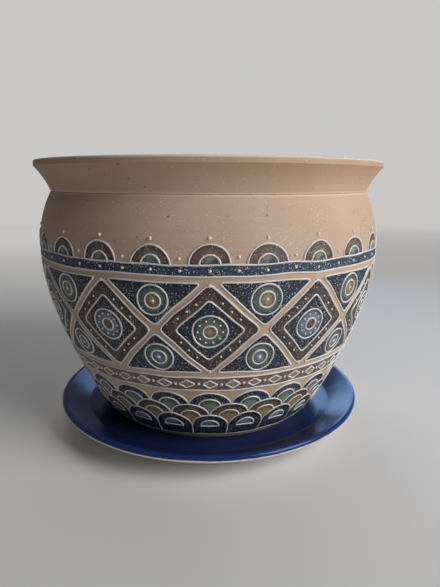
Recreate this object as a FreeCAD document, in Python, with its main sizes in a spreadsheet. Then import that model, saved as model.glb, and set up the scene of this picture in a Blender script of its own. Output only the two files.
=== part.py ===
"""A round stoneware plant pot with an everted lip, standing in a shallow glazed saucer.

Two loose pieces, both turned about the Z axis. The saucer stands on its foot ring at Z 0.
The pot stands on the saucer's floor, and lifts straight up and out of it.
Each piece is one wall of clay: an outline turned about the axis, hollowed or footed, then
pierced, notched and softened along its edges. All lengths are millimetres.
"""

import FreeCAD, Part
import math
import os

import Sketcher

ORIGIN = -1  # the sketch's own origin point and horizontal axis
UPRIGHT = -2  # the sketch's vertical axis
START = 1
END = 2
CENTRE = 3

SIZES = (
    # the pot
    ("pot_height", 177.5, "foot to the top of the lip"),
    ("lip_radius", 120.0, "outside of the lip's upright band"),
    ("lip_band", 3.8, "height of that band"),
    ("lip_wall", 6.0, "thickness of the lip"),
    ("lip_round", 1.5, "rounding of the lip's top edges"),
    ("flare_height", 19.5, "neck to the top of the lip"),
    ("flare_curve", 45.0, "radius of the hollow curve under the lip"),
    ("neck_inset", 8.7, "how far the neck stands in from the belly"),
    ("neck_line", 0.5, "depth of the line turned into the neck"),
    ("neck_ridge", 5.0, "rounding of the ridge inside the neck"),
    ("shoulder_height", 34.0, "belly to neck"),
    ("belly_inset", 1.0, "how far the belly, the widest place, stands in from the lip"),
    ("belly_curve", 153.0, "radius of the outline under the belly"),
    ("swell_height", 42.4, "belly down to where the flatter flank begins"),
    ("ankle_height", 14.5, "where the flank turns in to the foot"),
    ("ankle_width", 10.7, "how far that place stands out beyond the foot"),
    ("foot_inset", 44.8, "how far the foot stands in from the belly"),
    ("foot_ring_width", 9.0, "width of the ring that the pot stands on"),
    ("foot_recess", 3.0, "how far the floor is hollowed up inside the ring"),
    ("pot_wall", 6.5, "thickness of the side"),
    ("pot_floor", 6.5, "thickness of the floor"),
    ("floor_cove", 16.0, "inner radius from floor to side"),
    ("drain_radius", 11.0, "hole in the middle of the floor"),
    ("notch_width", 10.0, "gap in the foot ring that lets water out"),
    ("notch_count", 3, "gaps round the ring"),
    # the saucer
    ("well_margin", 13.8, "flat floor that shows round the pot's foot"),
    ("brim_width", 25.0, "from the edge of that floor to the outside of the rim"),
    ("saucer_depth", 9.5, "floor to the top of the rim"),
    ("saucer_floor", 6.0, "thickness of the floor"),
    ("saucer_wall", 4.6, "thickness of the sloping side, whose rim is half round"),
    ("saucer_cove", 12.0, "radius from the floor to the sloping side"),
    ("saucer_foot_inset", 2.2, "how far its foot ring stands in from the pot's foot"),
    ("saucer_foot_width", 7.0, "width of that ring"),
    ("saucer_foot_height", 4.5, "height of that ring"),
    # both
    ("edge_bevel", 0.8, "bevel wiped along the feet and the drain hole"),
)


class Size:
    """A length with its expression for the sheet, so that sums of sizes stay tied to it."""

    def __init__(self, text, value):
        self.text = text
        self.value = value

    def __add__(self, other):
        return Size(f"({self.text} + {other.text})", self.value + other.value)

    def __sub__(self, other):
        return Size(f"({self.text} - {other.text})", self.value - other.value)

    def half(self):
        return Size(f"({self.text} / 2)", self.value / 2)


def make_sheet(doc):
    """The sheet of driving sizes, and the same sizes by name."""
    sheet = doc.addObject("Spreadsheet::Sheet", "sizes")
    for row, (name, value, meaning) in enumerate(SIZES, start=1):
        sheet.set(f"A{row}", meaning)
        sheet.set(f"B{row}", str(value))
        sheet.setAlias(f"B{row}", name)
    doc.recompute()
    return {name: Size(f"sizes.{name}", float(value)) for name, value, _ in SIZES}


def add_places(size):
    """Adds the radii and heights that follow from the driving sizes."""
    size["belly_radius"] = size["lip_radius"] - size["belly_inset"]
    size["neck_radius"] = size["belly_radius"] - size["neck_inset"]
    size["foot_radius"] = size["belly_radius"] - size["foot_inset"]
    size["ankle_radius"] = size["foot_radius"] + size["ankle_width"]
    size["neck_height"] = size["pot_height"] - size["flare_height"]
    size["belly_height"] = size["neck_height"] - size["shoulder_height"]
    size["flank_height"] = size["belly_height"] - size["swell_height"]
    size["floor_height"] = size["foot_recess"] + size["pot_floor"]
    size["well_radius"] = size["foot_radius"] + size["well_margin"]
    size["saucer_radius"] = size["well_radius"] + size["brim_width"]
    size["seat_height"] = size["saucer_foot_height"] + size["saucer_floor"]
    size["saucer_height"] = size["seat_height"] + size["saucer_depth"]
    size["saucer_foot_radius"] = size["foot_radius"] - size["saucer_foot_inset"]


# ---------------------------------------------------------------- plane geometry


def point(across, up):
    return FreeCAD.Vector(across, up, 0)


def bearing(centre, spot):
    """The angle at which a spot lies from a centre, in radians."""
    return math.atan2(spot.y - centre.y, spot.x - centre.x)


def centre_level_with(spot, other):
    """Centre, level with a spot, of the arc that passes it upright and also passes another."""
    across = spot.x - other.x
    up = spot.y - other.y
    radius = (across**2 + up**2) / (2 * across)
    return point(spot.x - radius, spot.y)


def centre_beyond(lower, upper, radius):
    """Centre, on the outer side, of the arc of a given radius from one point up to another."""
    chord = upper - lower
    half = chord.Length / 2
    outward = point(chord.y, -chord.x).normalize()
    return (lower + upper) * 0.5 + outward * math.sqrt(radius**2 - half**2)


def arc_point_at(centre, radius, up):
    """The arc's outer point at a height."""
    rise = up - centre.y
    return point(centre.x + math.sqrt(radius**2 - rise**2), up)


def circle_through(centre, spot, other):
    """Centre, on a ray from a spot to a centre, of the circle through it and another point."""
    inward = (centre - spot).normalize()
    chord = spot - other
    return spot - inward * (chord.dot(chord) / (2 * chord.dot(inward)))


# ---------------------------------------------------------------- sketches


class Outline:
    """A sketch on one of a body's origin planes, whose constraints follow the sheet."""

    def __init__(self, body, name, role="XZ_Plane"):
        self.sketch = body.newObject("Sketcher::SketchObject", name)
        plane = next(f for f in body.Origin.OriginFeatures if f.Role == role)
        self.sketch.AttachmentSupport = [(plane, "")]
        self.sketch.MapMode = "FlatFace"
        self.name = name

    def line(self, first, last):
        return self.sketch.addGeometry(Part.LineSegment(first, last), False)

    def arc(self, centre, first, last):
        """An arc drawn anticlockwise from its first point to its last."""
        circle = Part.Circle(centre, FreeCAD.Vector(0, 0, 1), (first - centre).Length)
        angles = bearing(centre, first), bearing(centre, last)
        return self.sketch.addGeometry(Part.ArcOfCircle(circle, *angles), False)

    def bow(self, centre, lower, upper):
        """An arc that bows either way between two points, and which of its ends is at each."""
        if (lower - centre).cross(upper - centre).z > 0:
            return self.arc(centre, lower, upper), START, END
        return self.arc(centre, upper, lower), END, START

    def corner(self, across, up):
        """A construction point where two curves would meet if nothing rounded them."""
        spot = Part.Point(point(across.value, up.value))
        drawn = self.sketch.addGeometry(spot, True)
        self.place(drawn, START, across=across, up=up)
        return drawn

    def circle(self, centre, radius):
        shape = Part.Circle(centre, FreeCAD.Vector(0, 0, 1), radius.value)
        drawn = self.sketch.addGeometry(shape, False)
        self.tie("Radius", radius, drawn)
        return drawn

    def rule(self, kind, *places):
        """A constraint without a size, such as Coincident or Tangent."""
        return self.sketch.addConstraint(Sketcher.Constraint(kind, *places))

    def tie(self, kind, size, *places):
        """A constraint whose value follows the sheet."""
        number = self.rule(kind, *places, size.value)
        self.sketch.setExpression(f"Constraints[{number}]", size.text)

    def place(self, geometry, end, across=None, up=None):
        """Ties a point's distance from the axis and its height."""
        if across is not None:
            self.tie("DistanceX", across, ORIGIN, START, geometry, end)
        if up is not None:
            self.tie("DistanceY", up, ORIGIN, START, geometry, end)

    def on_axis(self, geometry, end):
        self.rule("PointOnObject", geometry, end, UPRIGHT)

    def join(self, geometry, end, other, other_end):
        self.rule("Coincident", geometry, end, other, other_end)

    def blend(self, geometry, end, other, other_end):
        """Joins two curves at their ends so that one runs on smoothly into the other."""
        self.rule("Tangent", geometry, end, other, other_end)


def turn(body, outline, kind, name):
    """Turns an outline all round the Z axis, adding or cutting clay."""
    feature = body.newObject(f"PartDesign::{kind}", name)
    feature.Profile = outline.sketch
    feature.ReferenceAxis = (outline.sketch, ["V_Axis"])
    feature.Angle = 360.0
    outline.sketch.Visibility = False
    return feature


def cut_up(body, outline, name, depth=None):
    """Cuts an outline drawn on the foot plane upwards, to a depth or right through."""
    feature = body.newObject("PartDesign::Pocket", name)
    feature.Profile = outline.sketch
    feature.Reversed = True
    if depth is None:
        feature.Type = 1
    else:
        feature.Length = depth.value
        feature.setExpression("Length", depth.text)
    outline.sketch.Visibility = False
    return feature


def clay_left(doc, body, feature, before):
    """Recomputes, and stops if a cutting feature failed or took nothing away."""
    doc.recompute()
    if feature.Shape.isNull() or feature.Shape.Volume >= before - 1e-3:
        raise RuntimeError(f"{body.Label}: {feature.Name} cuts nothing")
    return feature.Shape.Volume


def rings_at(shape, radius, height, reach=0.05):
    """Names of the circular edges about the axis at a radius and a height."""
    names = []
    for number, edge in enumerate(shape.Edges, start=1):
        curve = edge.Curve
        if not isinstance(curve, Part.Circle):
            continue
        centre = curve.Center
        about_axis = math.hypot(centre.x, centre.y) < reach
        away = math.hypot(curve.Radius - radius, centre.z - height)
        if about_axis and away < reach:
            names.append(f"Edge{number}")
    return names


def bevel(doc, body, name, rings, size):
    """Bevels the edges of the body's last feature that lie on the given rings."""
    base = body.Tip
    edges = []
    for radius, height in rings:
        found = rings_at(base.Shape, radius, height)
        if not found:
            raise RuntimeError(f"{body.Label}: no edge for {name} at {radius}, {height}")
        edges += found
    feature = body.newObject("PartDesign::Chamfer", name)
    feature.Base = (base, edges)
    feature.Size = size["edge_bevel"].value
    feature.setExpression("Size", size["edge_bevel"].text)
    doc.recompute()
    return feature


# ---------------------------------------------------------------- the pot


def pot_outside(body, size):
    """The outer form as one solid lump: foot, flank, belly, shoulder, flare and lip."""
    foot_flat = size["foot_radius"] - size["edge_bevel"]
    band_foot = size["pot_height"] - size["lip_band"]
    band_top = size["pot_height"] - size["lip_round"]
    lip_top = size["lip_radius"] - size["lip_round"]
    flat_end = point(foot_flat.value, 0)
    foot = point(size["foot_radius"].value, size["edge_bevel"].value)
    ankle = point(size["ankle_radius"].value, size["ankle_height"].value)
    belly = point(size["belly_radius"].value, size["belly_height"].value)
    neck = point(size["neck_radius"].value, size["neck_height"].value)
    band_low = point(size["lip_radius"].value, band_foot.value)
    band_high = point(size["lip_radius"].value, band_top.value)
    crest = point(lip_top.value, size["pot_height"].value)
    belly_centre = belly - point(size["belly_curve"].value, 0)
    hip = arc_point_at(belly_centre, size["belly_curve"].value, size["flank_height"].value)
    flank_centre = circle_through(belly_centre, hip, ankle)
    foot_centre = circle_through(flank_centre, ankle, foot)
    shoulder_centre = centre_level_with(belly, neck)
    flare_centre = centre_beyond(neck, band_low, size["flare_curve"].value)

    out = Outline(body, "pot_outline")
    base = out.line(point(0, 0), flat_end)
    heel = out.line(flat_end, foot)
    turn_in, turn_low, turn_high = out.bow(foot_centre, foot, ankle)
    flank, flank_low, flank_high = out.bow(flank_centre, ankle, hip)
    swell = out.arc(belly_centre, hip, belly)
    shoulder = out.arc(shoulder_centre, belly, neck)
    flare = out.arc(flare_centre, band_low, neck)
    band = out.line(band_low, band_high)
    lip = out.arc(point(lip_top.value, band_top.value), band_high, crest)
    top = out.line(crest, point(0, crest.y))
    axis = out.line(point(0, crest.y), point(0, 0))

    out.join(base, START, ORIGIN, START)
    out.rule("Horizontal", base)
    out.place(base, END, across=foot_flat)
    out.join(heel, START, base, END)
    out.place(heel, END, across=size["foot_radius"], up=size["edge_bevel"])
    out.join(turn_in, turn_low, heel, END)
    out.blend(turn_in, turn_high, flank, flank_low)
    out.place(flank, flank_low, across=size["ankle_radius"], up=size["ankle_height"])
    out.blend(flank, flank_high, swell, START)
    out.place(swell, START, up=size["flank_height"])
    out.tie("Radius", size["belly_curve"], swell)
    out.place(swell, CENTRE, up=size["belly_height"])
    out.place(swell, END, across=size["belly_radius"], up=size["belly_height"])
    out.join(shoulder, START, swell, END)
    out.place(shoulder, CENTRE, up=size["belly_height"])
    out.place(shoulder, END, across=size["neck_radius"], up=size["neck_height"])
    out.join(flare, END, shoulder, END)
    out.tie("Radius", size["flare_curve"], flare)
    out.place(flare, START, across=size["lip_radius"], up=band_foot)
    out.join(band, START, flare, START)
    out.rule("Vertical", band)
    out.blend(lip, START, band, END)
    out.tie("Radius", size["lip_round"], lip)
    out.blend(lip, END, top, START)
    out.rule("Horizontal", top)
    out.on_axis(top, END)
    out.place(top, END, up=size["pot_height"])
    out.join(axis, START, top, END)
    out.join(axis, END, base, START)
    return out


def pot_inside(body, size):
    """The hollow, whose side runs one wall inside the outer form."""
    wall = size["pot_wall"]
    floor = size["floor_height"]
    inner_ankle = size["ankle_radius"] - wall
    inner_belly = size["belly_radius"] - wall
    inner_neck = size["neck_radius"] - wall
    mouth_radius = size["lip_radius"] - size["lip_wall"]
    mouth_top = mouth_radius + size["lip_round"]
    mouth_height = size["pot_height"] - size["lip_round"]
    swell_radius = size["belly_curve"] - wall
    flare_radius = size["flare_curve"] + wall
    ankle = point(inner_ankle.value, size["ankle_height"].value)
    belly = point(inner_belly.value, size["belly_height"].value)
    neck = point(inner_neck.value, size["neck_height"].value)
    mouth = point(mouth_radius.value, mouth_height.value)
    crest = point(mouth_top.value, size["pot_height"].value)
    belly_centre = belly - point(swell_radius.value, 0)
    hip = arc_point_at(belly_centre, swell_radius.value, size["flank_height"].value)
    flank_centre = circle_through(belly_centre, hip, ankle)
    flank_radius = (hip - flank_centre).Length
    cove = size["floor_cove"]
    cove_rise = floor.value + cove.value
    cove_centre = arc_point_at(flank_centre, flank_radius - cove.value, cove_rise)
    heel = flank_centre + (cove_centre - flank_centre).normalize() * flank_radius
    floor_edge = point(cove_centre.x, floor.value)
    shoulder_centre = centre_level_with(belly, neck)
    flare_centre = centre_beyond(neck, mouth, flare_radius.value)
    # the ridge's arc starts from about its place, and the constraints then settle it
    ridge_reach = size["neck_ridge"].value / 2
    shoulder_radius = (belly - shoulder_centre).Length
    below = arc_point_at(shoulder_centre, shoulder_radius, neck.y - ridge_reach)
    above = neck + point(0.3 * ridge_reach, ridge_reach)
    ridge_centre = neck + (flare_centre - neck).normalize() * size["neck_ridge"].value

    out = Outline(body, "hollow_outline")
    base = out.line(point(0, floor.value), floor_edge)
    turn_up = out.arc(cove_centre, floor_edge, heel)
    flank = out.arc(flank_centre, heel, hip)
    swell = out.arc(belly_centre, hip, belly)
    shoulder = out.arc(shoulder_centre, belly, below)
    ridge = out.arc(ridge_centre, above, below)
    flare = out.arc(flare_centre, mouth, above)
    edge = out.arc(point(crest.x, mouth.y), crest, mouth)
    top = out.line(crest, point(0, crest.y))
    axis = out.line(point(0, crest.y), point(0, floor.value))

    out.on_axis(base, START)
    out.place(base, START, up=floor)
    out.rule("Horizontal", base)
    out.blend(turn_up, START, base, END)
    out.tie("Radius", cove, turn_up)
    out.blend(turn_up, END, flank, START)
    side = out.corner(inner_ankle, size["ankle_height"])
    out.rule("PointOnObject", side, START, flank)
    out.blend(flank, END, swell, START)
    out.place(swell, START, up=size["flank_height"])
    out.tie("Radius", swell_radius, swell)
    out.place(swell, CENTRE, up=size["belly_height"])
    out.place(swell, END, across=inner_belly, up=size["belly_height"])
    out.join(shoulder, START, swell, END)
    out.place(shoulder, CENTRE, up=size["belly_height"])
    waist = out.corner(inner_neck, size["neck_height"])
    out.rule("PointOnObject", waist, START, shoulder)
    out.rule("PointOnObject", waist, START, flare)
    out.tie("Radius", flare_radius, flare)
    out.place(flare, START, across=mouth_radius, up=mouth_height)
    out.tie("Radius", size["neck_ridge"], ridge)
    out.blend(ridge, END, shoulder, END)
    out.blend(ridge, START, flare, END)
    out.join(edge, END, flare, START)
    out.place(edge, CENTRE, across=mouth_top, up=mouth_height)
    out.blend(edge, START, top, START)
    out.rule("Horizontal", top)
    out.on_axis(top, END)
    out.join(axis, START, top, END)
    out.join(axis, END, base, START)
    return out


def foot_hollow(body, size):
    """The recess inside the foot ring, with a sloping side."""
    ring_inside = size["foot_radius"] - size["foot_ring_width"]
    depth = size["foot_recess"]
    top_radius = ring_inside - depth
    out = Outline(body, "recess_outline")
    base = out.line(point(0, 0), point(ring_inside.value, 0))
    slope = out.line(point(ring_inside.value, 0), point(top_radius.value, depth.value))
    roof = out.line(point(top_radius.value, depth.value), point(0, depth.value))
    axis = out.line(point(0, depth.value), point(0, 0))
    out.join(base, START, ORIGIN, START)
    out.rule("Horizontal", base)
    out.place(base, END, across=ring_inside)
    out.join(slope, START, base, END)
    out.place(slope, END, across=top_radius, up=depth)
    out.join(roof, START, slope, END)
    out.rule("Horizontal", roof)
    out.on_axis(roof, END)
    out.join(axis, START, roof, END)
    out.join(axis, END, base, START)
    return out


def neck_groove(body, size):
    """The section of the line turned into the corner of the neck: a V, open outwards."""
    depth = size["neck_line"]
    bottom = size["neck_radius"] - depth
    mouth = size["neck_radius"] + depth
    upper = size["neck_height"] + depth
    lower = size["neck_height"] - depth
    apex = point(bottom.value, size["neck_height"].value)
    high = point(mouth.value, upper.value)
    low = point(mouth.value, lower.value)
    out = Outline(body, "neck_line_outline")
    under = out.line(apex, low)
    close = out.line(low, high)
    over = out.line(high, apex)
    out.place(under, START, across=bottom, up=size["neck_height"])
    out.place(under, END, across=mouth, up=lower)
    out.join(close, START, under, END)
    out.place(close, END, across=mouth, up=upper)
    out.join(over, START, close, END)
    out.join(over, END, under, START)
    return out


def foot_gap(body, size):
    """The plan of the gap at the back of the foot ring, from inside the ring to well outside."""
    half = size["notch_width"].value / 2
    inside = size["foot_radius"] - size["foot_ring_width"] - size["foot_recess"]
    outside = size["belly_radius"]
    out = Outline(body, "notch_outline", "XY_Plane")
    inner = out.line(point(-half, inside.value), point(half, inside.value))
    right = out.line(point(half, inside.value), point(half, outside.value))
    outer = out.line(point(half, outside.value), point(-half, outside.value))
    left = out.line(point(-half, outside.value), point(-half, inside.value))
    sides = [inner, right, outer, left]
    for side, following in zip(sides, sides[1:] + sides[:1]):
        out.join(side, END, following, START)
    out.rule("Symmetric", inner, START, inner, END, UPRIGHT)
    out.rule("Vertical", right)
    out.rule("Horizontal", outer)
    out.rule("Vertical", left)
    out.place(inner, END, up=inside)
    out.place(right, END, up=outside)
    out.tie("DistanceX", size["notch_width"], inner, START, inner, END)
    return out


def ring_pattern(body, feature, size, name):
    """Repeats a cut evenly round the Z axis."""
    pattern = body.newObject("PartDesign::PolarPattern", name)
    pattern.Originals = [feature]
    axis = next(f for f in body.Origin.OriginFeatures if f.Role == "Z_Axis")
    pattern.Axis = (axis, [""])
    pattern.Angle = 360.0
    pattern.Occurrences = int(size["notch_count"].value)
    pattern.setExpression("Occurrences", size["notch_count"].text)
    body.Tip = pattern
    return pattern


def make_pot(doc, size):
    body = doc.addObject("PartDesign::Body", "pot")
    body.Label = "pot"
    lump = turn(body, pot_outside(body, size), "Revolution", "outer_form")
    doc.recompute()
    clay = lump.Shape.Volume
    hollow = turn(body, pot_inside(body, size), "Groove", "hollow")
    clay = clay_left(doc, body, hollow, clay)
    recess = turn(body, foot_hollow(body, size), "Groove", "foot_recess")
    clay = clay_left(doc, body, recess, clay)
    line = turn(body, neck_groove(body, size), "Groove", "neck_line")
    clay = clay_left(doc, body, line, clay)

    drain = Outline(body, "drain_outline", "XY_Plane")
    hole = drain.circle(point(0, 0), size["drain_radius"])
    drain.join(hole, CENTRE, ORIGIN, START)
    clay = clay_left(doc, body, cut_up(body, drain, "drain_hole"), clay)

    heights = (size["floor_height"].value, size["foot_recess"].value)
    hole_edges = [(size["drain_radius"].value, height) for height in heights]
    wiped = bevel(doc, body, "drain_bevels", hole_edges, size)
    clay = wiped.Shape.Volume
    gap = cut_up(body, foot_gap(body, size), "foot_notch", size["foot_recess"])
    clay = clay_left(doc, body, gap, clay)
    gaps = ring_pattern(body, gap, size, "foot_notches")
    clay_left(doc, body, gaps, clay)
    return body


# ---------------------------------------------------------------- the saucer


def saucer_section(body, size):
    """Half the saucer's section: floor, cove, and a sloping side with a half-round rim."""
    under = size["saucer_foot_height"]
    level = size["seat_height"]
    half_wall = size["saucer_wall"].half()
    rim_across = size["saucer_radius"] - half_wall
    rim_up = size["saucer_height"] - half_wall
    outer_cove = size["saucer_cove"] + size["saucer_wall"]
    cove = size["saucer_cove"].value
    well = point(size["well_radius"].value, level.value)
    cove_centre = well + point(0, cove)
    rim_centre = point(rim_across.value, rim_up.value)
    apart = cove_centre - rim_centre
    turned = math.acos((cove + half_wall.value) / apart.Length)
    facing = bearing(rim_centre, cove_centre) - turned
    upward = point(math.cos(facing), math.sin(facing))
    cove_end = cove_centre - upward * cove
    rim_inner = rim_centre + upward * half_wall.value
    rim_outer = rim_centre - upward * half_wall.value
    bend_up = under.value + outer_cove.value
    missing = outer_cove.value - (bend_up - rim_outer.y) * upward.y
    bend_centre = point(rim_outer.x + missing / upward.x, bend_up)
    bend_end = bend_centre - upward * outer_cove.value
    bend_foot = point(bend_centre.x, under.value)

    out = Outline(body, "saucer_outline")
    floor = out.line(point(0, level.value), well)
    turn_up = out.arc(cove_centre, well, cove_end)
    slope = out.line(cove_end, rim_inner)
    rim = out.arc(rim_centre, rim_outer, rim_inner)
    outer_slope = out.line(rim_outer, bend_end)
    turn_in = out.arc(bend_centre, bend_foot, bend_end)
    underside = out.line(bend_foot, point(0, under.value))
    axis = out.line(point(0, under.value), point(0, level.value))

    out.on_axis(floor, START)
    out.place(floor, START, up=level)
    out.rule("Horizontal", floor)
    out.place(floor, END, across=size["well_radius"])
    out.blend(turn_up, START, floor, END)
    out.tie("Radius", size["saucer_cove"], turn_up)
    out.blend(turn_up, END, slope, START)
    out.blend(rim, END, slope, END)
    out.place(rim, CENTRE, across=rim_across, up=rim_up)
    out.tie("Radius", half_wall, rim)
    out.blend(rim, START, outer_slope, START)
    out.rule("Parallel", outer_slope, slope)
    out.blend(turn_in, END, outer_slope, END)
    out.tie("Radius", outer_cove, turn_in)
    out.blend(turn_in, START, underside, START)
    out.rule("Horizontal", underside)
    out.on_axis(underside, END)
    out.place(underside, END, up=under)
    out.join(axis, START, underside, END)
    out.join(axis, END, floor, START)
    return out


def make_saucer(doc, size):
    body = doc.addObject("PartDesign::Body", "saucer")
    body.Label = "saucer"
    turn(body, saucer_section(body, size), "Revolution", "dish")
    doc.recompute()

    plan = Outline(body, "foot_plan", "XY_Plane")
    foot_inside = size["saucer_foot_radius"] - size["saucer_foot_width"]
    for radius in (size["saucer_foot_radius"], foot_inside):
        ring = plan.circle(point(0, 0), radius)
        plan.join(ring, CENTRE, ORIGIN, START)
    foot = body.newObject("PartDesign::Pad", "foot_ring")
    foot.Profile = plan.sketch
    foot.Length = size["saucer_foot_height"].value
    foot.setExpression("Length", size["saucer_foot_height"].text)
    plan.sketch.Visibility = False
    doc.recompute()
    foot_edges = [(size["saucer_foot_radius"].value, 0), (foot_inside.value, 0)]
    bevel(doc, body, "foot_bevels", foot_edges, size)
    return body


# ---------------------------------------------------------------- the two together


def check(doc, pieces):
    """Stops before anything is written if a feature failed or a piece isn't one sound solid."""
    for feature in doc.Objects:
        if "Invalid" in feature.State or "Error" in feature.State:
            raise RuntimeError(f"{feature.Name} failed: {feature.State}")
        if feature.TypeId == "Sketcher::SketchObject" and feature.solve() != 0:
            raise RuntimeError(f"{feature.Name} can't be solved")
    for piece in pieces:
        shape = piece.Shape
        if shape.isNull() or not shape.isValid() or len(shape.Solids) != 1:
            raise RuntimeError(f"{piece.Label} isn't one sound solid")


def main():
    doc = FreeCAD.newDocument("plant_pot")
    size = make_sheet(doc)
    add_places(size)
    saucer = make_saucer(doc, size)
    pot = make_pot(doc, size)
    pot.setExpression("Placement.Base.z", size["seat_height"].text)
    doc.recompute()
    pieces = [saucer, pot]
    check(doc, pieces)
    os.makedirs("parts", exist_ok=True)
    for piece in pieces:
        piece.Shape.exportStep(f"parts/{piece.Label}.step")
        box = piece.Shape.optimalBoundingBox()
        litres = piece.Shape.Volume / 1e6
        print(f"{piece.Label}: Z {box.ZMin:.2f} to {box.ZMax:.2f}, {litres:.3f} litres of clay")


main()
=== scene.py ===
"""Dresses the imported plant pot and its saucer: clay, coloured slips, trailed lines and glaze.

The two turned pieces come from the frame and keep their meshes. What is modelled here is the
decoration on the pot: flat coloured slips, each bounded by a raised line of pale slip. It is a
plain geometric design in bands that run all the way round: scallops at the foot, a border of
small lozenges, a frieze of large lozenges between triangles that hold ringed discs, and a navy
band on top with half discs standing on it.

The decoration is laid out flat: x runs round the pot, measured at the radius FLAT_RADIUS, y runs
up from the pot's foot, and z stands off its wall. Each motif is modelled once as a flat stamp,
copied along its band, joined to the others of its colour, and wrapped onto the pot.
"""

import math

import bpy
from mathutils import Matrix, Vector, noise
from mathutils.bvhtree import BVHTree

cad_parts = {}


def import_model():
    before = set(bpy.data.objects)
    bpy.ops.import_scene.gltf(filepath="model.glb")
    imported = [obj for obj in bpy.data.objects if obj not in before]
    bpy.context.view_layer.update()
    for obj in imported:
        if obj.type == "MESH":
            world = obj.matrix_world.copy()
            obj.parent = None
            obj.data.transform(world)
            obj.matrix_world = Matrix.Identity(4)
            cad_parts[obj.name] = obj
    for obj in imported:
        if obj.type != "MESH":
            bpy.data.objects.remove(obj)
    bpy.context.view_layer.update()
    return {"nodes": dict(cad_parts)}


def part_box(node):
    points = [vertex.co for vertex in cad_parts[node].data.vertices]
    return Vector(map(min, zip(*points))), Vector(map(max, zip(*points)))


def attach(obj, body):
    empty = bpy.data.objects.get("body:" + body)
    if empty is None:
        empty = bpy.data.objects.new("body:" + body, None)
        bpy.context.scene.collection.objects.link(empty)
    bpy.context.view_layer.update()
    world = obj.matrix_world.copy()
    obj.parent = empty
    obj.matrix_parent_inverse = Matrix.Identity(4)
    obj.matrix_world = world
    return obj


MM = 0.001

# ---------------------------------------------------------------- the photograph's view

IMAGE_HEIGHT = 587
FOCAL_PIXELS = 481.0
CAMERA_DISTANCE = 361.2 * MM  # from the pot's axis
CAMERA_HEIGHT = 175.6 * MM
CAMERA_PITCH = 13.23  # degrees, downwards
CAMERA_YAW = 1.28
CAMERA_ROLL = 0.24

# ---------------------------------------------------------------- the decoration's layout

FLAT_RADIUS = 115 * MM
GIRTH = 2 * math.pi * FLAT_RADIUS
REPEATS = 12

SCALLOP_FOOT = 6 * MM
SCALLOP_ROWS = 3
SCALLOP_DROP = 9 * MM  # from one row to the next
SCALLOP_RISE = 10.5 * MM
SCALLOP_WIDTH = GIRTH / REPEATS / 4  # half of it
SCALLOP_HEART = 0.52  # the inner scallop's share of the outer one

BORDER_LOW = 46 * MM
BORDER_HIGH = 55 * MM
BORDER_COUNT = 48
BORDER_LOZENGE = (5 * MM, 2.7 * MM)  # half its width and half its height

FRIEZE_MIDDLE = 86 * MM
LOZENGE_WIDTH = 28 * MM  # half of it, as with every width, height and disc below
LOZENGE_HEIGHT = 27.5 * MM
INNER_LOZENGE = (19 * MM, 18.5 * MM)
HEART_DISC = 9.4 * MM
EYE_DISC = 3.6 * MM
DOT_RING = 6.6 * MM  # radius of the ring of drops round the eye
DOT_RING_COUNT = 10
SIDE_DOTS = (0.3, 0.5, 0.7)  # where they lie along a lozenge's side
SIDE_DOTS_REACH = 0.835  # how far out, between the lozenge's middle and its edge
END_DOT_INSET = 1.2 * MM  # of the drops at its upper and lower corner
TRIANGLE_WIDTH = 25.8 * MM
TRIANGLE_RISE = 25.3 * MM
GAP_DISC = 8.6 * MM
GAP_EYE = 4.4 * MM
GAP_DISC_RISE = 17.5 * MM  # above and below the middle

CROWN_LOW = 117 * MM
CROWN_HIGH = 123 * MM
CROWN_COUNT = 24
CROWN_DISC = 10.5 * MM
CROWN_HEART = 0.5  # the inner half disc's share of the outer one
CROWN_TIP_DOT = 3 * MM  # above a half disc
CROWN_GAP_DOT = 3.6 * MM  # above the band, between two half discs

# ---------------------------------------------------------------- how slip lies on the clay

FIRST_COAT = 0.22 * MM  # height of a slip's face above the pot's wall
NEXT_COAT = 0.12 * MM  # each further slip on top of it
SLIP_THICKNESS = 0.5 * MM
SLIP_EDGE = 1.0 * MM  # width of the row of facets along a stamp's edge
EDGE_SHARE = 0.055  # its greatest width on a small stamp, as a share of the stamp
GRID = 3.5 * MM  # facets short enough to follow the wall
LINE_RADIUS = 0.52 * MM
LINE_SINK = 0.1 * MM  # a line's middle below its slip's face
LINE_STEP = 1.3 * MM
LINE_SWELL = 0.3  # how much a line's width varies
LINE_SWELL_SPAN = 6 * MM  # over what length it varies
DOT_RADIUS = 1.05 * MM
DOT_FLATNESS = 0.62
BORDER_DROP = 0.9  # drops' sizes, here to BAND_DROP, as shares of the full one
RING_DROP = 0.6
SIDE_DROP = 0.62
END_DROP = 1.1
BAND_DROP = 0.85
HAND_REACH = 0.9 * MM  # how far the hand strays
HAND_SPAN = 17 * MM  # over what length it strays
HAND_TILT = math.radians(3.5)  # the most that a motif is turned
HAND_SEED = 8  # the same wobble in each run
ON_CLAY = -0.5  # coats at which a drop lies on bare clay
LOZENGE_CORNER = 0.12  # how far its corners are rounded, as a share of its width
TRIANGLE_CORNER = 0.1
SEAM = 0.01 * MM  # points nearer than this are one
SMOOTH_ANGLE = math.radians(50)


def paint(red, green, blue):
    """A colour as the eye reads it, 0 to 255, made linear."""
    shares = [part / 255 for part in (red, green, blue)]
    linear = [s / 12.92 if s <= 0.04045 else ((s + 0.055) / 1.055) ** 2.4 for s in shares]
    return (*linear, 1.0)


# ---------------------------------------------------------------- shader maths


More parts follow.
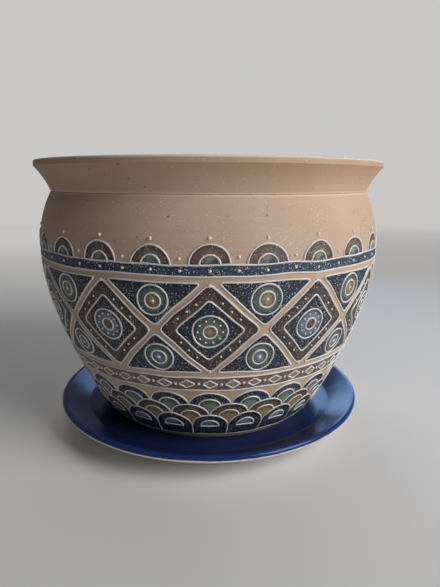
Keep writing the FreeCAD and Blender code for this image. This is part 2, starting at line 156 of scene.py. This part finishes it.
class Signal:
    """A socket that carries a number, with Python's operators for its maths."""

    def __init__(self, finish, socket):
        self.finish = finish
        self.socket = socket

    def maths(self, operation, *values):
        node = self.finish.node("ShaderNodeMath", {"operation": operation}, dict(enumerate(values)))
        return Signal(self.finish, node.outputs[0])

    def __add__(self, other):
        return self.maths("ADD", self, other)

    __radd__ = __add__

    def __sub__(self, other):
        return self.maths("SUBTRACT", self, other)

    def __rsub__(self, other):
        return self.maths("SUBTRACT", other, self)

    def __mul__(self, other):
        return self.maths("MULTIPLY", self, other)

    __rmul__ = __mul__

    def __pow__(self, other):
        return self.maths("POWER", self, other)

    def clamped(self):
        node = self.finish.node("ShaderNodeClamp", {}, {"Value": self})
        return Signal(self.finish, node.outputs[0])

    def above(self, edge, softness):
        """0 below the edge and 1 above it, with a soft step between."""
        return ((self - edge) * (1 / softness) + 0.5).clamped()

    def below(self, edge, softness):
        return ((edge - self) * (1 / softness) + 0.5).clamped()

    def at_least(self, floor):
        return self.maths("MAXIMUM", self, floor)


class Tree:
    """A node tree, to which nodes are added with their settings and values."""

    def __init__(self, tree):
        self.tree = tree

    def node(self, kind, settings=None, values=None):
        node = self.tree.nodes.new(kind)
        for setting, value in (settings or {}).items():
            setattr(node, setting, value)
        for socket, value in (values or {}).items():
            self.feed(node.inputs[socket], value)
        return node

    def feed(self, socket, value):
        if isinstance(value, Signal):
            value = value.socket
        if isinstance(value, bpy.types.NodeSocket):
            self.tree.links.new(value, socket)
        else:
            socket.default_value = value

    def seen(self, mirrored):
        """1 towards the camera, this share in a mirror image, and 0 for the light it gives."""
        path = self.node("ShaderNodeLightPath").outputs
        rays = ("Is Camera Ray", "Is Glossy Ray", "Is Transmission Ray")
        camera, glossy, through = (Signal(self, path[ray]) for ray in rays)
        return (camera + glossy * mirrored + through).clamped()


class Finish(Tree):
    """A material, and the nodes that make up its look."""

    def __init__(self, name):
        self.material = bpy.data.materials.new(name)
        self.material.use_nodes = True
        super().__init__(self.material.node_tree)
        self.shader = self.tree.nodes["Principled BSDF"]
        self.place = self.node("ShaderNodeTexCoord").outputs["Object"]

    def set(self, **values):
        for name, value in values.items():
            self.feed(self.shader.inputs[name.replace("_", " ")], value)

    def axes(self):
        """Radius from the pot's axis, and height."""
        split = self.node("ShaderNodeSeparateXYZ", {}, {0: self.place})
        x, y, z = (Signal(self, output) for output in split.outputs)
        return (x * x + y * y) ** 0.5, z

    def cloud(self, size, detail=2.0, stretch=(1, 1, 1)):
        """Soft noise from 0 to 1, with patches of about this size."""
        place = self.node("ShaderNodeMapping", {}, {"Vector": self.place, "Scale": stretch})
        values = {"Vector": place.outputs[0], "Scale": 1 / size, "Detail": detail}
        return Signal(self, self.node("ShaderNodeTexNoise", {}, values).outputs[0])

    def specks(self, spacing, radius, share):
        """1 inside small round specks, on this share of the cells."""
        values = {"Vector": self.place, "Scale": 1 / spacing}
        cells = self.node("ShaderNodeTexVoronoi", {}, values)
        chance = self.node("ShaderNodeSeparateColor", {}, {0: cells.outputs["Color"]})
        near = Signal(self, cells.outputs["Distance"]).below(radius / spacing, 0.08)
        return near * Signal(self, chance.outputs[0]).below(share, 0.02)

    def mix(self, factor, first, second):
        settings = {"data_type": "RGBA"}
        node = self.node("ShaderNodeMix", settings, {0: factor, 6: first, 7: second})
        return node.outputs[2]

    def bump(self, height, depth):
        values = {"Height": height, "Strength": 1.0, "Distance": depth}
        return self.node("ShaderNodeBump", {}, values).outputs[0]


# ---------------------------------------------------------------- finishes

IRON = paint(112, 82, 60)
GROG = paint(232, 222, 212)

FLARE_MIDDLE = 12 * MM  # below the lip's top, as the next two are
NECK_DROP = 19.5 * MM
SPRAYED_DROP = 20 * MM  # further down, fine slip has settled round the brushwork
NECK_INSET = 9.7 * MM  # in from the lip's outside
LIP_HIGHLIGHT_DEPTH = 1.0 * MM

GLAZE_DEPTH = 3 * MM  # the middle of the saucer's wall, under the well that the pot stands on
WELL_INSET = 25 * MM  # from the rim in to the flat well
WALL_SLOPE = 0.4
THIN_RIM = 4 * MM  # the strip inside the rim where the glaze runs thin

SLIPS = {  # deep and pale brushwork, the pool along its line, and its share of specks
    "navy": (paint(14, 24, 40), paint(34, 54, 78), paint(9, 14, 24), 0.65),
    "brown": (paint(62, 48, 42), paint(106, 86, 75), paint(42, 32, 28), 0.4),
    "ochre": (paint(98, 82, 60), paint(156, 136, 98), paint(66, 54, 40), 0.35),
    "sage": (paint(40, 58, 66), paint(122, 132, 120), paint(22, 37, 48), 0.35),
    "mist": (paint(54, 72, 92), paint(130, 146, 160), paint(34, 50, 70), 0.3),
}


def buff_clay(pot):
    """Unglazed stoneware with iron specks, throwing rings, a toasted flare, and painted highlights
    at the neck and along the lip's top.
    """
    finish = Finish("buff_stoneware")
    radius, height = finish.axes()
    _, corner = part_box(pot.name)
    lip_radius, lip_top = corner.x, corner.z
    neck_height = lip_top - NECK_DROP
    body = finish.mix(finish.cloud(38 * MM), paint(180, 153, 131), paint(200, 173, 151))
    toast = height.above(lip_top - FLARE_MIDDLE, 14 * MM) * (0.4 + 0.6 * finish.cloud(14 * MM))
    body = finish.mix(toast * 0.6, body, paint(176, 138, 100))
    # Painted highlight: a pale band round the outside of the neck, which lightens the shade in the
    # crease between flare and body.
    outside = radius.above(lip_radius - NECK_INSET - 2 * MM, MM)
    neck = height.above(neck_height - MM, MM) * height.below(neck_height + MM, MM)
    body = finish.mix(neck * outside * 0.55, body, paint(222, 204, 184))
    # Painted highlight: the lip's top edge is lightened to a pale line, standing in for light from
    # behind catching it.
    lip_highlight = height.above(lip_top - LIP_HIGHLIGHT_DEPTH, 0.9 * MM)
    body = finish.mix(lip_highlight * 0.85, body, paint(232, 224, 214))
    body = finish.mix(finish.specks(4.2 * MM, radius=0.55 * MM, share=0.14) * 0.8, body, IRON)
    body = finish.mix(finish.specks(2.3 * MM, radius=0.3 * MM, share=0.12) * 0.6, body, IRON)
    settled = height.below(lip_top - SPRAYED_DROP, 24 * MM)
    sprayed = settled * finish.cloud(13 * MM).above(0.52, 0.25)
    body = finish.mix(finish.specks(1.4 * MM, radius=0.26 * MM, share=0.16) * 0.6, body, GROG)
    body = finish.mix(finish.specks(1.0 * MM, radius=0.25 * MM, share=0.4) * sprayed, body, GROG)
    rings = finish.cloud(6 * MM, stretch=(0.05, 0.05, 1))
    grain = finish.cloud(0.7 * MM, detail=3.0)
    finish.set(
        Base_Color=body,
        Roughness=0.66 + 0.16 * finish.cloud(9 * MM),
        Normal=finish.bump(rings * 0.8 + grain * 0.2, depth=0.45 * MM),
    )
    return finish.material


def cobalt_glaze(saucer, pot):
    """Glossy cobalt on the upper side, thinner at the rim; bare cream clay below it."""
    finish = Finish("cobalt_glaze")
    radius, height = finish.axes()
    rim_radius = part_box(saucer.name)[1].x
    well_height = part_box(pot.name)[0].z
    down = (radius - (rim_radius - WELL_INSET)).at_least(0)
    middle = down * WALL_SLOPE + (well_height - GLAZE_DEPTH)
    ragged = (finish.cloud(7 * MM) - 0.5) * (1.2 * MM)
    glazed = (height - middle + ragged).above(0, 0.4 * MM)
    cobalt = finish.mix(finish.cloud(24 * MM), paint(20, 30, 62), paint(32, 48, 96))
    thin = radius.above(rim_radius - THIN_RIM, 6 * MM) * 0.6
    cobalt = finish.mix(thin, cobalt, paint(36, 54, 118))
    cream = finish.mix(finish.cloud(14 * MM), paint(222, 215, 204), paint(238, 233, 224))
    cream = finish.mix(finish.specks(2.4 * MM, radius=0.32 * MM, share=0.15), cream, IRON)
    waves = finish.cloud(8 * MM) * 0.5 + finish.cloud(0.6 * MM) * 0.1
    finish.set(
        Base_Color=finish.mix(glazed, cream, cobalt),
        Roughness=0.7 - glazed * (0.46 + 0.08 * finish.cloud(20 * MM)),
        Specular_Tint=(0.45, 0.66, 1.0, 1.0),
        Normal=finish.bump(waves, depth=0.12 * MM),
    )
    return finish.material


def slip(name, deep, pale, pooled, sprinkle):
    """A brushed slip: pale in the middle, darker where it pools along its line, with pale specks."""
    finish = Finish(name)
    middle = finish.node("ShaderNodeAttribute", {"attribute_name": "middle"})
    inside = Signal(finish, middle.outputs["Fac"])
    strokes = finish.cloud(7 * MM, detail=4.0, stretch=(1, 1, 0.35))
    body = finish.mix((strokes * 0.7 + inside * 1.1 - 0.3).clamped(), deep, pale)
    body = finish.mix((1 - inside * 3.5).clamped() * 0.8, body, pooled)
    drifts = finish.cloud(11 * MM).above(0.45, 0.3)
    body = finish.mix(finish.specks(1.2 * MM, radius=0.27 * MM, share=sprinkle) * 0.8, body, GROG)
    fine = finish.specks(0.8 * MM, radius=0.2 * MM, share=sprinkle) * drifts
    body = finish.mix(fine * 0.8, body, GROG)
    grain = finish.cloud(0.8 * MM, detail=3.0)
    finish.set(
        Base_Color=body,
        Roughness=0.5 + 0.14 * strokes,
        Normal=finish.bump(strokes * 0.6 + grain * 0.3, depth=0.25 * MM),
    )
    return finish.material


def trailed_slip():
    """Pale slip from a trailer, smooth and a little glossy."""
    finish = Finish("trailed_slip")
    body = finish.mix(finish.cloud(11 * MM), paint(202, 197, 194), paint(232, 231, 230))
    finish.set(
        Base_Color=body,
        Roughness=0.42 + 0.12 * finish.cloud(4 * MM),
        Normal=finish.bump(finish.cloud(1.2 * MM), depth=0.08 * MM),
    )
    return finish.material


# ---------------------------------------------------------------- the pot's wall


class Wall:
    """The outside of the pot, found by level rays, and the place on it of a flat point."""

    STEP = 0.5 * MM

    def __init__(self, pot):
        low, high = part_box(pot.name)
        self.foot = low.z
        tree = BVHTree.FromObject(pot, bpy.context.evaluated_depsgraph_get())
        far = 2 * high.x
        self.radii = []
        for step in range(int((high.z - low.z) / self.STEP)):
            start = Vector((far, 0, low.z + (step + 0.5) * self.STEP))
            hit = tree.ray_cast(start, Vector((-1, 0, 0)))[0]
            self.radii.append(hit.x)

    def radius(self, rise):
        at = min(max(rise / self.STEP - 0.5, 0), len(self.radii) - 1.001)
        step = int(at)
        share = at - step
        return self.radii[step] * (1 - share) + self.radii[step + 1] * share

    def stray(self, along, rise):
        """How far the hand strays, along and up, at this place on the pot."""
        turn = along / FLAT_RADIUS
        place = Vector((math.sin(turn), -math.cos(turn), 0)) * FLAT_RADIUS
        place.z = rise
        drift = noise.noise_vector(place / HAND_SPAN) * HAND_REACH
        return drift.x, drift.y

    def place(self, flat):
        drift_along, drift_up = self.stray(flat.x, flat.y)
        turn = (flat.x + drift_along) / FLAT_RADIUS
        rise = flat.y + drift_up
        lean = (self.radius(rise + MM) - self.radius(rise - MM)) / (2 * MM)
        outward = Vector((1, 0, -lean)).normalized()
        reach = self.radius(rise) + flat.z * outward.x
        height = self.foot + rise + flat.z * outward.z
        return Vector((reach * math.sin(turn), -reach * math.cos(turn), height))


# ---------------------------------------------------------------- tools of the bench


def alone(piece):
    bpy.ops.object.select_all(action="DESELECT")
    piece.select_set(True)
    bpy.context.view_layer.objects.active = piece


def edit(piece):
    alone(piece)
    bpy.ops.object.mode_set(mode="EDIT")
    bpy.ops.mesh.select_all(action="SELECT")


def leave_edit():
    bpy.ops.object.mode_set(mode="OBJECT")


def apply_scale(piece):
    alone(piece)
    bpy.ops.object.transform_apply(location=True, rotation=True, scale=True)


def cut_across(low, high, direction):
    """Cuts the mesh in edit mode along a grid's lines between two places."""
    for line in range(math.ceil(low / GRID), math.ceil(high / GRID)):
        bpy.ops.mesh.select_all(action="SELECT")
        bpy.ops.mesh.bisect(plane_co=Vector(direction) * line * GRID, plane_no=direction)


def join(pieces, name):
    bpy.ops.object.select_all(action="DESELECT")
    for piece in pieces:
        piece.select_set(True)
    bpy.context.view_layer.objects.active = pieces[0]
    if len(pieces) > 1:
        bpy.ops.object.join()
    joined = bpy.context.object
    joined.name = name
    joined.data.name = name
    apply_scale(joined)
    return joined


# ---------------------------------------------------------------- flat stamps


def disc(width, height=None):
    """A disc or an oval of this half width and half height."""
    bpy.ops.object.select_all(action="DESELECT")
    bpy.ops.mesh.primitive_circle_add(vertices=40, radius=1, fill_type="NGON")
    stamp = bpy.context.object
    stamp.scale = (width, height or width, 1)
    apply_scale(stamp)
    return stamp


def soften_corners(stamp, reach):
    """Rounds a stamp's corners, as a loaded brush leaves them."""
    edit(stamp)
    bpy.ops.mesh.bevel(affect="VERTICES", offset=reach, segments=4)
    leave_edit()
    return stamp


def lozenge(width, height):
    """A lozenge of this half width and half height."""
    bpy.ops.object.select_all(action="DESELECT")
    bpy.ops.mesh.primitive_circle_add(vertices=4, radius=1, fill_type="NGON")
    stamp = bpy.context.object
    stamp.scale = (width, height, 1)
    apply_scale(stamp)
    return soften_corners(stamp, LOZENGE_CORNER * width)


def triangle(width, rise, points_up):
    """A triangle on the middle of its base, half as wide as it says on each side."""
    bpy.ops.object.select_all(action="DESELECT")
    bpy.ops.mesh.primitive_circle_add(vertices=3, radius=1, fill_type="NGON")
    stamp = bpy.context.object
    stamp.scale = (width / math.cos(math.radians(30)), rise / 1.5, 1)
    stamp.location.y = rise / 3
    apply_scale(stamp)
    if not points_up:
        stamp.rotation_euler.z = math.pi
        apply_scale(stamp)
    return soften_corners(stamp, TRIANGLE_CORNER * width)


def half_disc(width, height=None, skirt=0.0):
    """The upper half of a disc, standing on a skirt of this depth."""
    stamp = disc(width, height)
    edit(stamp)
    bpy.ops.mesh.bisect(plane_co=(0, 0, 0), plane_no=(0, 1, 0), clear_inner=True)
    leave_edit()
    if skirt:
        for edge in stamp.data.edges:
            edge.select = all(abs(stamp.data.vertices[i].co.y) < SEAM for i in edge.vertices)
        for vertex in stamp.data.vertices:
            vertex.select = abs(vertex.co.y) < SEAM
        alone(stamp)
        bpy.ops.object.mode_set(mode="EDIT")
        bpy.ops.mesh.select_mode(type="EDGE")
        bpy.ops.mesh.extrude_region_move(TRANSFORM_OT_translate={"value": (0, -skirt, 0)})
        bpy.ops.mesh.select_mode(type="VERT")
        leave_edit()
    return stamp


def strip(low, high):
    """A band right round the pot, whose two ends meet at the back."""
    bpy.ops.object.select_all(action="DESELECT")
    bpy.ops.mesh.primitive_plane_add(size=1, location=(0, (low + high) / 2, 0))
    stamp = bpy.context.object
    stamp.scale = (GIRTH, high - low, 1)
    apply_scale(stamp)
    edit(stamp)
    for edge in (low + SLIP_EDGE, high - SLIP_EDGE):
        bpy.ops.mesh.select_all(action="SELECT")
        bpy.ops.mesh.bisect(plane_co=(0, edge, 0), plane_no=(0, 1, 0))
    cut_across(-GIRTH / 2 + GRID, GIRTH / 2, (1, 0, 0))
    leave_edit()
    mark_middle(stamp, lambda point: min(point.y - low, high - point.y))
    return stamp


def gridded(stamp):
    """Gives a stamp an edge strip, and facets that can follow the wall."""
    corners = [vertex.co.copy() for vertex in stamp.data.vertices]
    sides = [side for face in stamp.data.polygons for side in face.edge_keys]
    rim = [[corners[i] for i in side] for side in sides if sides.count(side) == 1]
    left, right = min(c.x for c in corners), max(c.x for c in corners)
    low, high = min(c.y for c in corners), max(c.y for c in corners)
    edge = min(SLIP_EDGE, EDGE_SHARE * (right - left), EDGE_SHARE * (high - low))
    edit(stamp)
    bpy.ops.mesh.inset(thickness=edge, use_boundary=True)
    cut_across(left, right, (1, 0, 0))
    cut_across(low, high, (0, 1, 0))
    leave_edit()
    mark_middle(stamp, lambda point: min(reach_to(point, *ends) for ends in rim))
    return stamp


def reach_to(point, first, second):
    """The distance from a point to a straight edge."""
    along = second - first
    share = min(max((point - first).dot(along) / along.length_squared, 0), 1)
    return (point - first - along * share).length


def mark_middle(stamp, inward):
    """Keeps how far each point is from the stamp's edge, from 0 there to 1 at the middle."""
    reaches = [inward(vertex.co) for vertex in stamp.data.vertices]
    middle = stamp.data.attributes.new("middle", "FLOAT", "POINT")
    for index, reach in enumerate(reaches):
        middle.data[index].value = reach / max(reaches)


def outline(stamp, hides=None):
    """A stamp's edge as a flat line, without the stretches that a later slip hides."""
    line = stamp.copy()
    line.data = stamp.data.copy()
    bpy.context.collection.objects.link(line)
    edit(line)
    bpy.ops.mesh.dissolve_faces()
    bpy.ops.mesh.delete(type="ONLY_FACE")
    leave_edit()
    shorten_edges(line)
    if hides:
        drop_points(line, hides)
    return line


def shorten_edges(line):
    """Divides a line's long edges, so that it can follow the wall and stray."""
    longest = max(edge_length(line.data, edge) for edge in line.data.edges)
    while longest > 2 * LINE_STEP:
        edit(line)
        bpy.ops.mesh.select_all(action="DESELECT")
        leave_edit()
        for edge in line.data.edges:
            if edge_length(line.data, edge) > 1.5 * LINE_STEP:
                edge.select = True
                for index in edge.vertices:
                    line.data.vertices[index].select = True
        alone(line)
        bpy.ops.object.mode_set(mode="EDIT")
        bpy.ops.mesh.subdivide(number_cuts=1)
        leave_edit()
        longest = max(edge_length(line.data, edge) for edge in line.data.edges)


def edge_length(mesh, edge):
    first, second = (mesh.vertices[i].co for i in edge.vertices)
    return (first - second).length


def drop_points(line, hides):
    edit(line)
    bpy.ops.mesh.select_all(action="DESELECT")
    leave_edit()
    for vertex in line.data.vertices:
        vertex.select = hides(vertex.co)
    alone(line)
    bpy.ops.object.mode_set(mode="EDIT")
    bpy.ops.mesh.delete(type="VERT")
    leave_edit()


def ring_line(rise):
    """A line right round the pot."""
    bpy.ops.object.select_all(action="DESELECT")
    bpy.ops.mesh.primitive_plane_add(size=1, location=(0, rise, 0))
    line = bpy.context.object
    line.scale = (GIRTH, 1, 1)
    apply_scale(line)
    drop_points(line, lambda point: point.y < rise)
    for vertex in line.data.vertices:
        vertex.co.y = rise
    shorten_edges(line)
    return line


def dot():
    """A drop of slip, let fall from the trailer."""
    bpy.ops.object.select_all(action="DESELECT")
    bpy.ops.mesh.primitive_uv_sphere_add(segments=8, ring_count=6, radius=DOT_RADIUS)
    drop = bpy.context.object
    drop.scale.z = DOT_FLATNESS
    apply_scale(drop)
    return drop


# ---------------------------------------------------------------- the decoration


class Decoration:
    """What is laid out flat so far: the slips by colour, the lines and the dots."""

    def __init__(self, wall):
        self.wall = wall
        self.slips = {}
        self.lines = {}
        self.dots = []
        self.drop = dot()

    def copy(self, stamp, along, rise, height):
        piece = stamp.copy()
        piece.data = stamp.data.copy()
        piece.location = (along, rise, height)
        piece.rotation_euler.z = HAND_TILT * noise.noise(Vector((along, rise, 0)) / HAND_SPAN)
        bpy.context.collection.objects.link(piece)
        return piece

    def lay(self, band, colour, stamp, places, coat=0, hides=None):
        """Lays a stamp and its line at each of these places, coat over coat."""
        face = FIRST_COAT + coat * NEXT_COAT
        line = outline(stamp, hides)
        gridded(stamp)
        for along, rise in places:
            self.slips.setdefault(colour, []).append(self.copy(stamp, along, rise, face))
            self.lines.setdefault(band, []).append(self.copy(line, along, rise, face - LINE_SINK))
        bpy.data.objects.remove(stamp)
        bpy.data.objects.remove(line)

    def band(self, band, colour, low, high):
        stamp = strip(low, high)
        stamp.location.z = FIRST_COAT
        self.slips.setdefault(colour, []).append(stamp)
        for rise in (low, high):
            self.ring(band, rise)

    def ring(self, band, rise):
        line = ring_line(rise)
        line.location.z = FIRST_COAT - LINE_SINK
        self.lines.setdefault(band, []).append(line)

    def dot(self, along, rise, coat=0, size=1.0):
        """A drop, widened where the pot is narrow, so that it stays round once wrapped."""
        face = FIRST_COAT + coat * NEXT_COAT
        piece = self.copy(self.drop, along, rise, face)
        widen = FLAT_RADIUS / self.wall.radius(rise)
        piece.scale = (size * widen, size, 1)
        self.dots.append(piece)


def spread(count, offset=0.0):
    """Places round the pot, at equal steps from the front."""
    step = GIRTH / count
    return [(index + offset - count / 2) * step for index in range(count)]


def lay_scallops(design):
    """Rows of overlapping scallops, the lower ones laid over the upper ones."""
    count = round(GIRTH / (2 * SCALLOP_WIDTH))
    rows = (("navy", "sage"), ("brown", "ochre"), ("navy", "mist"))
    foot = SCALLOP_FOOT + SCALLOP_DROP

    def under_next_row(point):
        """Inside one of the two scallops of the row below, or under them."""
        up = (point.y + SCALLOP_DROP) / SCALLOP_RISE
        sides = [(point.x - side) / SCALLOP_WIDTH for side in (-SCALLOP_WIDTH, SCALLOP_WIDTH)]
        return point.y < -SCALLOP_DROP or any(across**2 + up**2 < 1 for across in sides)

    def beside_or_under(point):
        """On the side that the next scallop draws, or where the foot line runs."""
        beside = point.x < -0.99 * SCALLOP_WIDTH and point.y < -LINE_STEP
        return beside or point.y < -0.9 * SCALLOP_DROP

    for row in range(SCALLOP_ROWS):
        outer, inner = rows[row]
        level = foot + (SCALLOP_ROWS - 1 - row) * SCALLOP_DROP
        places = [(along, level) for along in spread(count, offset=0.5 * (row % 2))]
        last = row == SCALLOP_ROWS - 1
        hides = beside_or_under if last else under_next_row
        stamp = half_disc(SCALLOP_WIDTH, SCALLOP_RISE, skirt=SCALLOP_DROP)
        design.lay("foot", outer, stamp, places, coat=row, hides=hides)
        heart_skirt = 0 if last else SCALLOP_DROP
        heart = half_disc(SCALLOP_HEART * SCALLOP_WIDTH, SCALLOP_HEART * SCALLOP_RISE, heart_skirt)
        heart_hides = None if last else under_next_row
        design.lay("foot", inner, heart, places, coat=row + 0.5, hides=heart_hides)
    design.ring("foot", SCALLOP_FOOT)


def lay_border(design):
    """A brown band of small ochre lozenges with a drop between each two."""
    design.band("border", "brown", BORDER_LOW, BORDER_HIGH)
    middle = (BORDER_LOW + BORDER_HIGH) / 2
    places = [(along, middle) for along in spread(BORDER_COUNT)]
    design.lay("border", "ochre", lozenge(*BORDER_LOZENGE), places, coat=1)
    for along in spread(BORDER_COUNT, offset=0.5):
        design.dot(along, middle, size=BORDER_DROP)


def lay_frieze(design):
    """Large lozenges with a ringed disc in each, and between them triangles with smaller ones."""
    everywhere = [(along, FRIEZE_MIDDLE) for along in spread(REPEATS)]
    design.lay("frieze", "brown", lozenge(LOZENGE_WIDTH, LOZENGE_HEIGHT), everywhere)
    for start, heart, eye in ((0, "sage", "ochre"), (1, "mist", "brown")):
        places = everywhere[start::2]
        design.lay("frieze", "navy", lozenge(*INNER_LOZENGE), places, coat=1)
        design.lay("frieze", heart, disc(HEART_DISC), places, coat=2)
        design.lay("frieze", eye, disc(EYE_DISC), places, coat=3)
        reach = LOZENGE_HEIGHT - END_DOT_INSET
        for along, rise in places:
            lay_dot_ring(design, along, rise)
            lay_side_dots(design, along, rise)
            for side in (-1, 1):
                design.dot(along, rise + side * reach, size=END_DROP)
    gaps = spread(REPEATS, offset=0.5)
    for side in (-1, 1):
        bases = [(along, FRIEZE_MIDDLE + side * LOZENGE_HEIGHT) for along in gaps]
        stamp = triangle(TRIANGLE_WIDTH, TRIANGLE_RISE, points_up=side < 0)
        design.lay("triangle", "navy", stamp, bases)
        places = [(along, FRIEZE_MIDDLE + side * GAP_DISC_RISE) for along in gaps]
        design.lay("triangle", "sage", disc(GAP_DISC), places, coat=1)
        design.lay("triangle", "ochre" if side > 0 else "mist", disc(GAP_EYE), places, coat=2)
        for along, rise in places:
            design.dot(along, rise, coat=2)


def lay_dot_ring(design, along, rise):
    """A ring of small drops on the disc at a lozenge's heart."""
    for index in range(DOT_RING_COUNT):
        turn = 2 * math.pi * index / DOT_RING_COUNT
        place = (along + DOT_RING * math.cos(turn), rise + DOT_RING * math.sin(turn))
        design.dot(*place, coat=2, size=RING_DROP)


def lay_side_dots(design, along, rise):
    """Three drops along each of a lozenge's four sides, in the strip inside its edge."""
    for across, up in ((1, 1), (1, -1), (-1, 1), (-1, -1)):
        for share in SIDE_DOTS:
            place = (
                along + across * SIDE_DOTS_REACH * LOZENGE_WIDTH * share,
                rise + up * SIDE_DOTS_REACH * LOZENGE_HEIGHT * (1 - share),
            )
            design.dot(*place, size=SIDE_DROP)


def lay_crown(design):
    """A navy band with a row of drops, and half discs that stand on it."""
    design.band("crown", "navy", CROWN_LOW, CROWN_HIGH)
    middle = (CROWN_LOW + CROWN_HIGH) / 2
    for along in spread(2 * CROWN_COUNT):
        design.dot(along, middle, size=BAND_DROP)
    places = [(along, CROWN_HIGH) for along in spread(CROWN_COUNT)]
    design.lay("crown", "brown", half_disc(CROWN_DISC), places)
    design.lay("crown", "sage", half_disc(CROWN_HEART * CROWN_DISC), places, coat=0.6)
    for along in spread(CROWN_COUNT):
        design.dot(along, CROWN_HIGH + CROWN_DISC + CROWN_TIP_DOT, coat=ON_CLAY)
    for along in spread(CROWN_COUNT, offset=0.5):
        design.dot(along, CROWN_HIGH + CROWN_GAP_DOT, coat=ON_CLAY, size=BAND_DROP)


# ---------------------------------------------------------------- wrapping and finishing


def wrap(piece, wall):
    for vertex in piece.data.vertices:
        vertex.co = wall.place(vertex.co)


def finish_slip(piece, wall, material):
    """Wraps a colour's slips and gives them their thickness."""
    wrap(piece, wall)
    edit(piece)
    bpy.ops.mesh.remove_doubles(threshold=SEAM)
    leave_edit()
    alone(piece)
    thickness = piece.modifiers.new("thickness", "SOLIDIFY")
    thickness.thickness = SLIP_THICKNESS
    thickness.offset = -1
    bpy.ops.object.modifier_apply(modifier=thickness.name)
    dress(piece, material)


def finish_lines(piece, wall, material):
    """Turns a band's flat lines into trailed ones, a little uneven in their width."""
    wrap(piece, wall)
    edit(piece)
    bpy.ops.mesh.remove_doubles(threshold=SEAM)
    leave_edit()
    alone(piece)
    bpy.ops.object.convert(target="CURVE")
    line = bpy.context.object
    line.data.dimensions = "3D"
    line.data.bevel_depth = LINE_RADIUS
    line.data.bevel_resolution = 2
    line.data.use_fill_caps = True
    for spline in line.data.splines:
        for point in spline.points:
            point.radius = 1 + LINE_SWELL * noise.noise(Vector(point.co[:3]) / LINE_SWELL_SPAN)
    bpy.ops.object.convert(target="MESH")
    dress(bpy.context.object, material)


def dress(piece, material):
    alone(piece)
    bpy.ops.object.shade_smooth_by_angle(angle=SMOOTH_ANGLE)
    piece.data.materials.clear()
    piece.data.materials.append(material)
    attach(piece, "pot")


def decorate(pot):
    noise.seed_set(HAND_SEED)
    wall = Wall(pot)
    design = Decoration(wall)
    lay_scallops(design)
    lay_border(design)
    lay_frieze(design)
    lay_crown(design)
    finishes = {colour: slip(colour + "_slip", *recipe) for colour, recipe in SLIPS.items()}
    for colour, stamps in design.slips.items():
        finish_slip(join(stamps, colour + "_slips"), wall, finishes[colour])
    pale = trailed_slip()
    for band, lines in design.lines.items():
        finish_lines(join(lines, band + "_lines"), wall, pale)
    bpy.data.objects.remove(design.drop)
    drops = join(design.dots, "trailed_dots")
    wrap(drops, wall)
    dress(drops, pale)


# ---------------------------------------------------------------- the studio


def set_camera():
    data = bpy.data.cameras.new("camera")
    data.sensor_fit = "VERTICAL"
    data.sensor_height = 24.0
    data.lens = FOCAL_PIXELS * data.sensor_height / IMAGE_HEIGHT
    data.clip_start = 0.01
    camera = bpy.data.objects.new("camera", data)
    bpy.context.collection.objects.link(camera)
    camera.location = (0.0, -CAMERA_DISTANCE, CAMERA_HEIGHT)
    camera.rotation_mode = "XYZ"
    pitch = math.radians(90 - CAMERA_PITCH)
    camera.rotation_euler = (pitch, 0.0, math.radians(-CAMERA_YAW))
    camera.rotation_euler.rotate_axis("Z", math.radians(CAMERA_ROLL))
    bpy.context.scene.camera = camera


POT_MIDDLE = Vector((0, 0, 100 * MM))
BACKDROP = (1.0, 0.99, 0.975, 1.0)
BACKDROP_SHOWN = 0.58  # how bright it looks
ROOM_LIGHT = 0.075  # how much light it gives from all round
GLAZE_SHARE = 0.12  # how much of the backdrop the glaze mirrors
FLOOR_SIZE = 30.0
FLOOR_FADE = 1.1  # how far away the floor is half faded into the backdrop
FLOOR_FADE_SPAN = 1.3


def lamp(name, place, size, power):
    """A square soft box that faces the pot's middle."""
    data = bpy.data.lights.new(name, "AREA")
    data.size = size
    data.energy = power
    box = bpy.data.objects.new(name, data)
    bpy.context.collection.objects.link(box)
    box.location = place
    towards = POT_MIDDLE - box.location
    box.rotation_euler = towards.to_track_quat("-Z", "Y").to_euler()
    return box


def lay_floor():
    """A pale floor that fades into the backdrop far away, so that no horizon shows."""
    bpy.ops.object.select_all(action="DESELECT")
    bpy.ops.mesh.primitive_plane_add(size=FLOOR_SIZE)
    floor = bpy.context.object
    floor.name = "floor"
    pale = Finish("pale_floor")
    pale.set(Base_Color=paint(224, 223, 222), Roughness=0.85)
    away, _ = pale.axes()
    haze = pale.node("ShaderNodeEmission", {}, {"Color": BACKDROP, "Strength": BACKDROP_SHOWN})
    far = away.above(FLOOR_FADE, FLOOR_FADE_SPAN) * pale.seen(GLAZE_SHARE)
    surfaces = {0: far, 1: pale.shader.outputs[0], 2: haze.outputs[0]}
    both = pale.node("ShaderNodeMixShader", {}, surfaces)
    pale.feed(pale.tree.nodes["Material Output"].inputs["Surface"], both.outputs[0])
    floor.data.materials.append(pale.material)


def set_studio():
    lay_floor()
    world = bpy.data.worlds.new("studio")
    bpy.context.scene.world = world
    world.use_nodes = True
    room = Tree(world.node_tree)
    sky = room.tree.nodes["Background"]
    shown = room.seen(GLAZE_SHARE) * (BACKDROP_SHOWN - ROOM_LIGHT)
    room.feed(sky.inputs["Color"], BACKDROP)
    room.feed(sky.inputs["Strength"], shown + ROOM_LIGHT)
    lamp("window", place=(0.82, -0.55, 0.62), size=0.7, power=10.8)
    behind = lamp("back_window", place=(-0.4, 1.3, 0.8), size=1.2, power=8)
    behind.visible_glossy = False
    # Seen in gloss alone: the sky that the glaze in the photograph mirrors on its right.
    sheen = lamp("sky_card", place=(0.22, 0.5, 0.3), size=0.46, power=2.0)
    sheen.data.color = (0.36, 0.6, 1.0)
    sheen.visible_diffuse = False
    sheen.visible_camera = False
    bpy.context.scene.view_settings.view_transform = "Standard"


# ---------------------------------------------------------------- main


def main():
    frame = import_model()
    set_camera()
    set_studio()
    pot = frame["nodes"]["pot"]
    saucer = frame["nodes"]["saucer"]
    for node, material in ((pot, buff_clay(pot)), (saucer, cobalt_glaze(saucer, pot))):
        for material_slot in node.material_slots:
            material_slot.material = material
    decorate(pot)


main()
